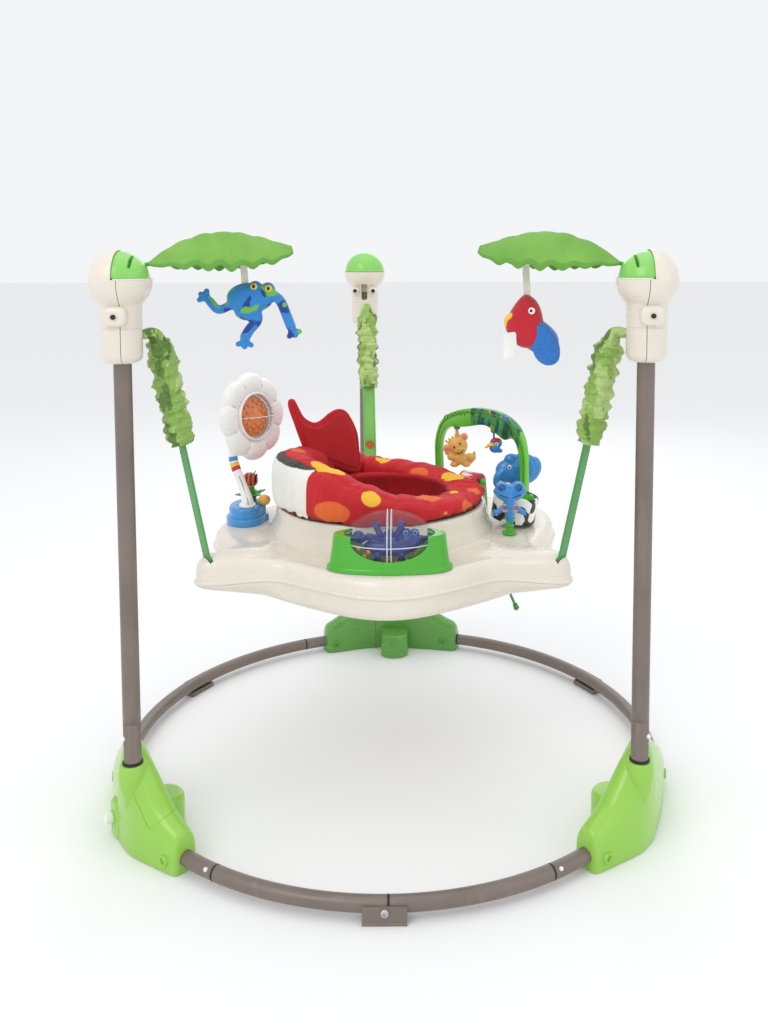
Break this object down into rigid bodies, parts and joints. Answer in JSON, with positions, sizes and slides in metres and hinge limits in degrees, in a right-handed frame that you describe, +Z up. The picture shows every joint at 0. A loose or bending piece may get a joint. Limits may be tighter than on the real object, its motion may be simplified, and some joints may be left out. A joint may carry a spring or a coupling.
{
  "type": "baby activity jumper",
  "caption": "Baby jumper: a turning soft seat in a toy tray, hung on spring straps from uprights joined by a ring base.",
  "frame": {"origin": "on the floor, at the centre of the object's outline seen from above", "axes": "+Z up, -Y towards the egg rattle at the front of the tray, +X towards the toy arch"},
  "size_m": [0.902, 0.9582, 0.8811],
  "materials": {
    "tube_paint": "satin taupe paint",
    "lime_plastic": "gloss lime green",
    "hub_green_plastic": "gloss leaf green",
    "ivory_plastic": "gloss ivory",
    "white_plastic": "gloss white",
    "socket_green": "gloss green",
    "spring_steel": "bright wire",
    "sleeve_fabric": "satin printed in greens",
    "green_webbing": "woven",
    "dark_plastic": "dark brown, matte",
    "seat_red_fabric": "red cotton printed with yellow and orange spots",
    "seat_check_fabric": "brown check",
    "cradle_green": "gloss bright green",
    "clear_plastic": "clear",
    "navy_plastic": "gloss navy",
    "base_blue": "gloss blue",
    "orange_plastic": "gloss orange",
    "tan_plastic": "soft gloss tan",
    "arch_green": "gloss green",
    "red_plastic": "gloss red",
    "spotted_plastic": "white with black spots",
    "toy_blue": "gloss blue",
    "leaf_green": "satin green cloth",
    "frog_blue": "short plush",
    "parrot_red": "short plush"
  },
  "bodies": {
    "frame": {"ring_tube_front_left": "tube_paint", "ring_tube_front_right": "tube_paint", "ring_tube_left": "tube_paint", "ring_tube_right": "tube_paint", "floor_bracket_front": "tube_paint", "floor_bracket_left_rear": "tube_paint", "floor_bracket_right_rear": "tube_paint", "foot_left_front_shell": "lime_plastic", "foot_left_rear_shell": "lime_plastic", "foot_right_shell": "lime_plastic", "rear_hub_left_shell": "hub_green_plastic", "rear_hub_right_shell": "hub_green_plastic", "upright_left": "tube_paint", "upright_right": "tube_paint", "upright_rear": "tube_paint", "pod_left": "ivory_plastic", "pod_right": "ivory_plastic", "pod_rear": "ivory_plastic", "pod_cap_rear": "socket_green", "leaf_socket_left": "socket_green", "leaf_socket_right": "socket_green", "spring_left": "spring_steel", "spring_right": "spring_steel", "spring_rear": "spring_steel", "sleeve_left": "sleeve_fabric", "sleeve_right": "sleeve_fabric", "sleeve_rear": "sleeve_fabric", "strap_left": "green_webbing", "strap_right": "green_webbing", "strap_rear": "green_webbing"},
    "button": {"release_button": "white_plastic"},
    "tray": {"tray_top": "ivory_plastic", "tray_bottom": "ivory_plastic", "rattle_cradle": "cradle_green", "flower_base": "base_blue", "flower_arm": "white_plastic", "flower_disc": "white_plastic", "toy_arch": "arch_green", "roller_stand": "arch_green", "elephant_bulb": "toy_blue"},
    "seat": {"seat_ring": "dark_plastic", "seat_pad": "seat_red_fabric", "seat_back_flap": "seat_red_fabric", "seat_bucket": "seat_check_fabric"},
    "rattle": {"rattle_shell": "clear_plastic", "rattle_core": "navy_plastic"},
    "flower_spinner": {"flower_dome": "clear_plastic", "flower_heart": "orange_plastic"},
    "bug": {"striped_bug": "orange_plastic"},
    "monkey": {"monkey": "tan_plastic"},
    "toucan": {"toucan": "red_plastic"},
    "roller": {"roller_drum": "red_plastic"},
    "drum": {"spotted_drum": "spotted_plastic"},
    "lizard": {"lizard_teether": "toy_blue", "lizard_cord": "green_webbing", "lizard_cord_knot": "green_webbing"},
    "leaf_left": {"leaf_left": "leaf_green"},
    "leaf_right": {"leaf_right": "leaf_green"},
    "frog": {"frog": "frog_blue"},
    "parrot": {"parrot": "parrot_red"}
  },
  "joints": [
    {"name": "tray_bounce", "type": "slide", "parent": "frame", "child": "tray", "axis": [0, 0, 1], "range_m": [-0.1, 0.06], "stiffness_N_per_m": 1200, "springref_m": 0.0412, "deforming": ["spring_left", "sleeve_left", "strap_left", "spring_right", "sleeve_right", "strap_right", "spring_rear", "sleeve_rear", "strap_rear"]},
    {"name": "seat_spin", "type": "hinge", "parent": "tray", "child": "seat", "pos_m": [-0.015, -0.0241, 0.4405], "axis": [0, 0, 1], "continuous": true},
    {"name": "button_press", "type": "slide", "parent": "frame", "child": "button", "axis": [0.8434, 0.5373, 0], "range_m": [0, 0.004], "stiffness_N_per_m": 300},
    {"name": "rattle_spin", "type": "hinge", "parent": "tray", "child": "rattle", "pos_m": [0.0035, -0.2561, 0.4385], "axis": [1, 0, 0], "continuous": true},
    {"name": "flower_spin", "type": "hinge", "parent": "tray", "child": "flower_spinner", "pos_m": [-0.237, 0.0239, 0.573], "axis": [0.8294, -0.5496, 0.0999], "continuous": true},
    {"name": "bug_spin", "type": "hinge", "parent": "tray", "child": "bug", "pos_m": [-0.25, 0.0389, 0.4565], "axis": [0, 0, 1], "continuous": true},
    {"name": "monkey_swing", "type": "hinge", "parent": "tray", "child": "monkey", "pos_m": [0.12127, 0.13549, 0.53], "axis": [0.7255, -0.6883, 0], "range_deg": [-6, 40]},
    {"name": "toucan_swing", "type": "hinge", "parent": "tray", "child": "toucan", "pos_m": [0.18511, 0.07492, 0.5345], "axis": [0.7255, -0.6883, 0], "range_deg": [-3, 40]},
    {"name": "roller_spin", "type": "hinge", "parent": "tray", "child": "roller", "pos_m": [0.14804, 0.11285, 0.437], "axis": [0.7255, -0.6883, 0], "continuous": true},
    {"name": "drum_spin", "type": "hinge", "parent": "tray", "child": "drum", "pos_m": [0.2125, -0.0241, 0.4238], "axis": [0.1564, 0, 0.9877], "continuous": true},
    {"name": "lizard_lift", "type": "slide", "parent": "tray", "child": "lizard", "axis": [0, 0, 1], "range_m": [0, 0.025]},
    {"name": "leaf_left_swivel", "type": "hinge", "parent": "frame", "child": "leaf_left", "pos_m": [-0.36403, -0.31262, 0.818], "axis": [0, 0, 1], "range_deg": [-25, 25]},
    {"name": "leaf_right_swivel", "type": "hinge", "parent": "frame", "child": "leaf_right", "pos_m": [0.36251, -0.31453, 0.818], "axis": [0, 0, 1], "range_deg": [-25, 25]},
    {"name": "frog_swing", "type": "hinge", "parent": "leaf_left", "child": "frog", "pos_m": [-0.197, -0.25183, 0.87242], "axis": [1, 0, 0], "range_deg": [-18, 18]},
    {"name": "parrot_swing", "type": "hinge", "parent": "leaf_right", "child": "parrot", "pos_m": [0.19549, -0.25373, 0.87242], "axis": [1, 0, 0], "range_deg": [-18, 18]}
  ]
}
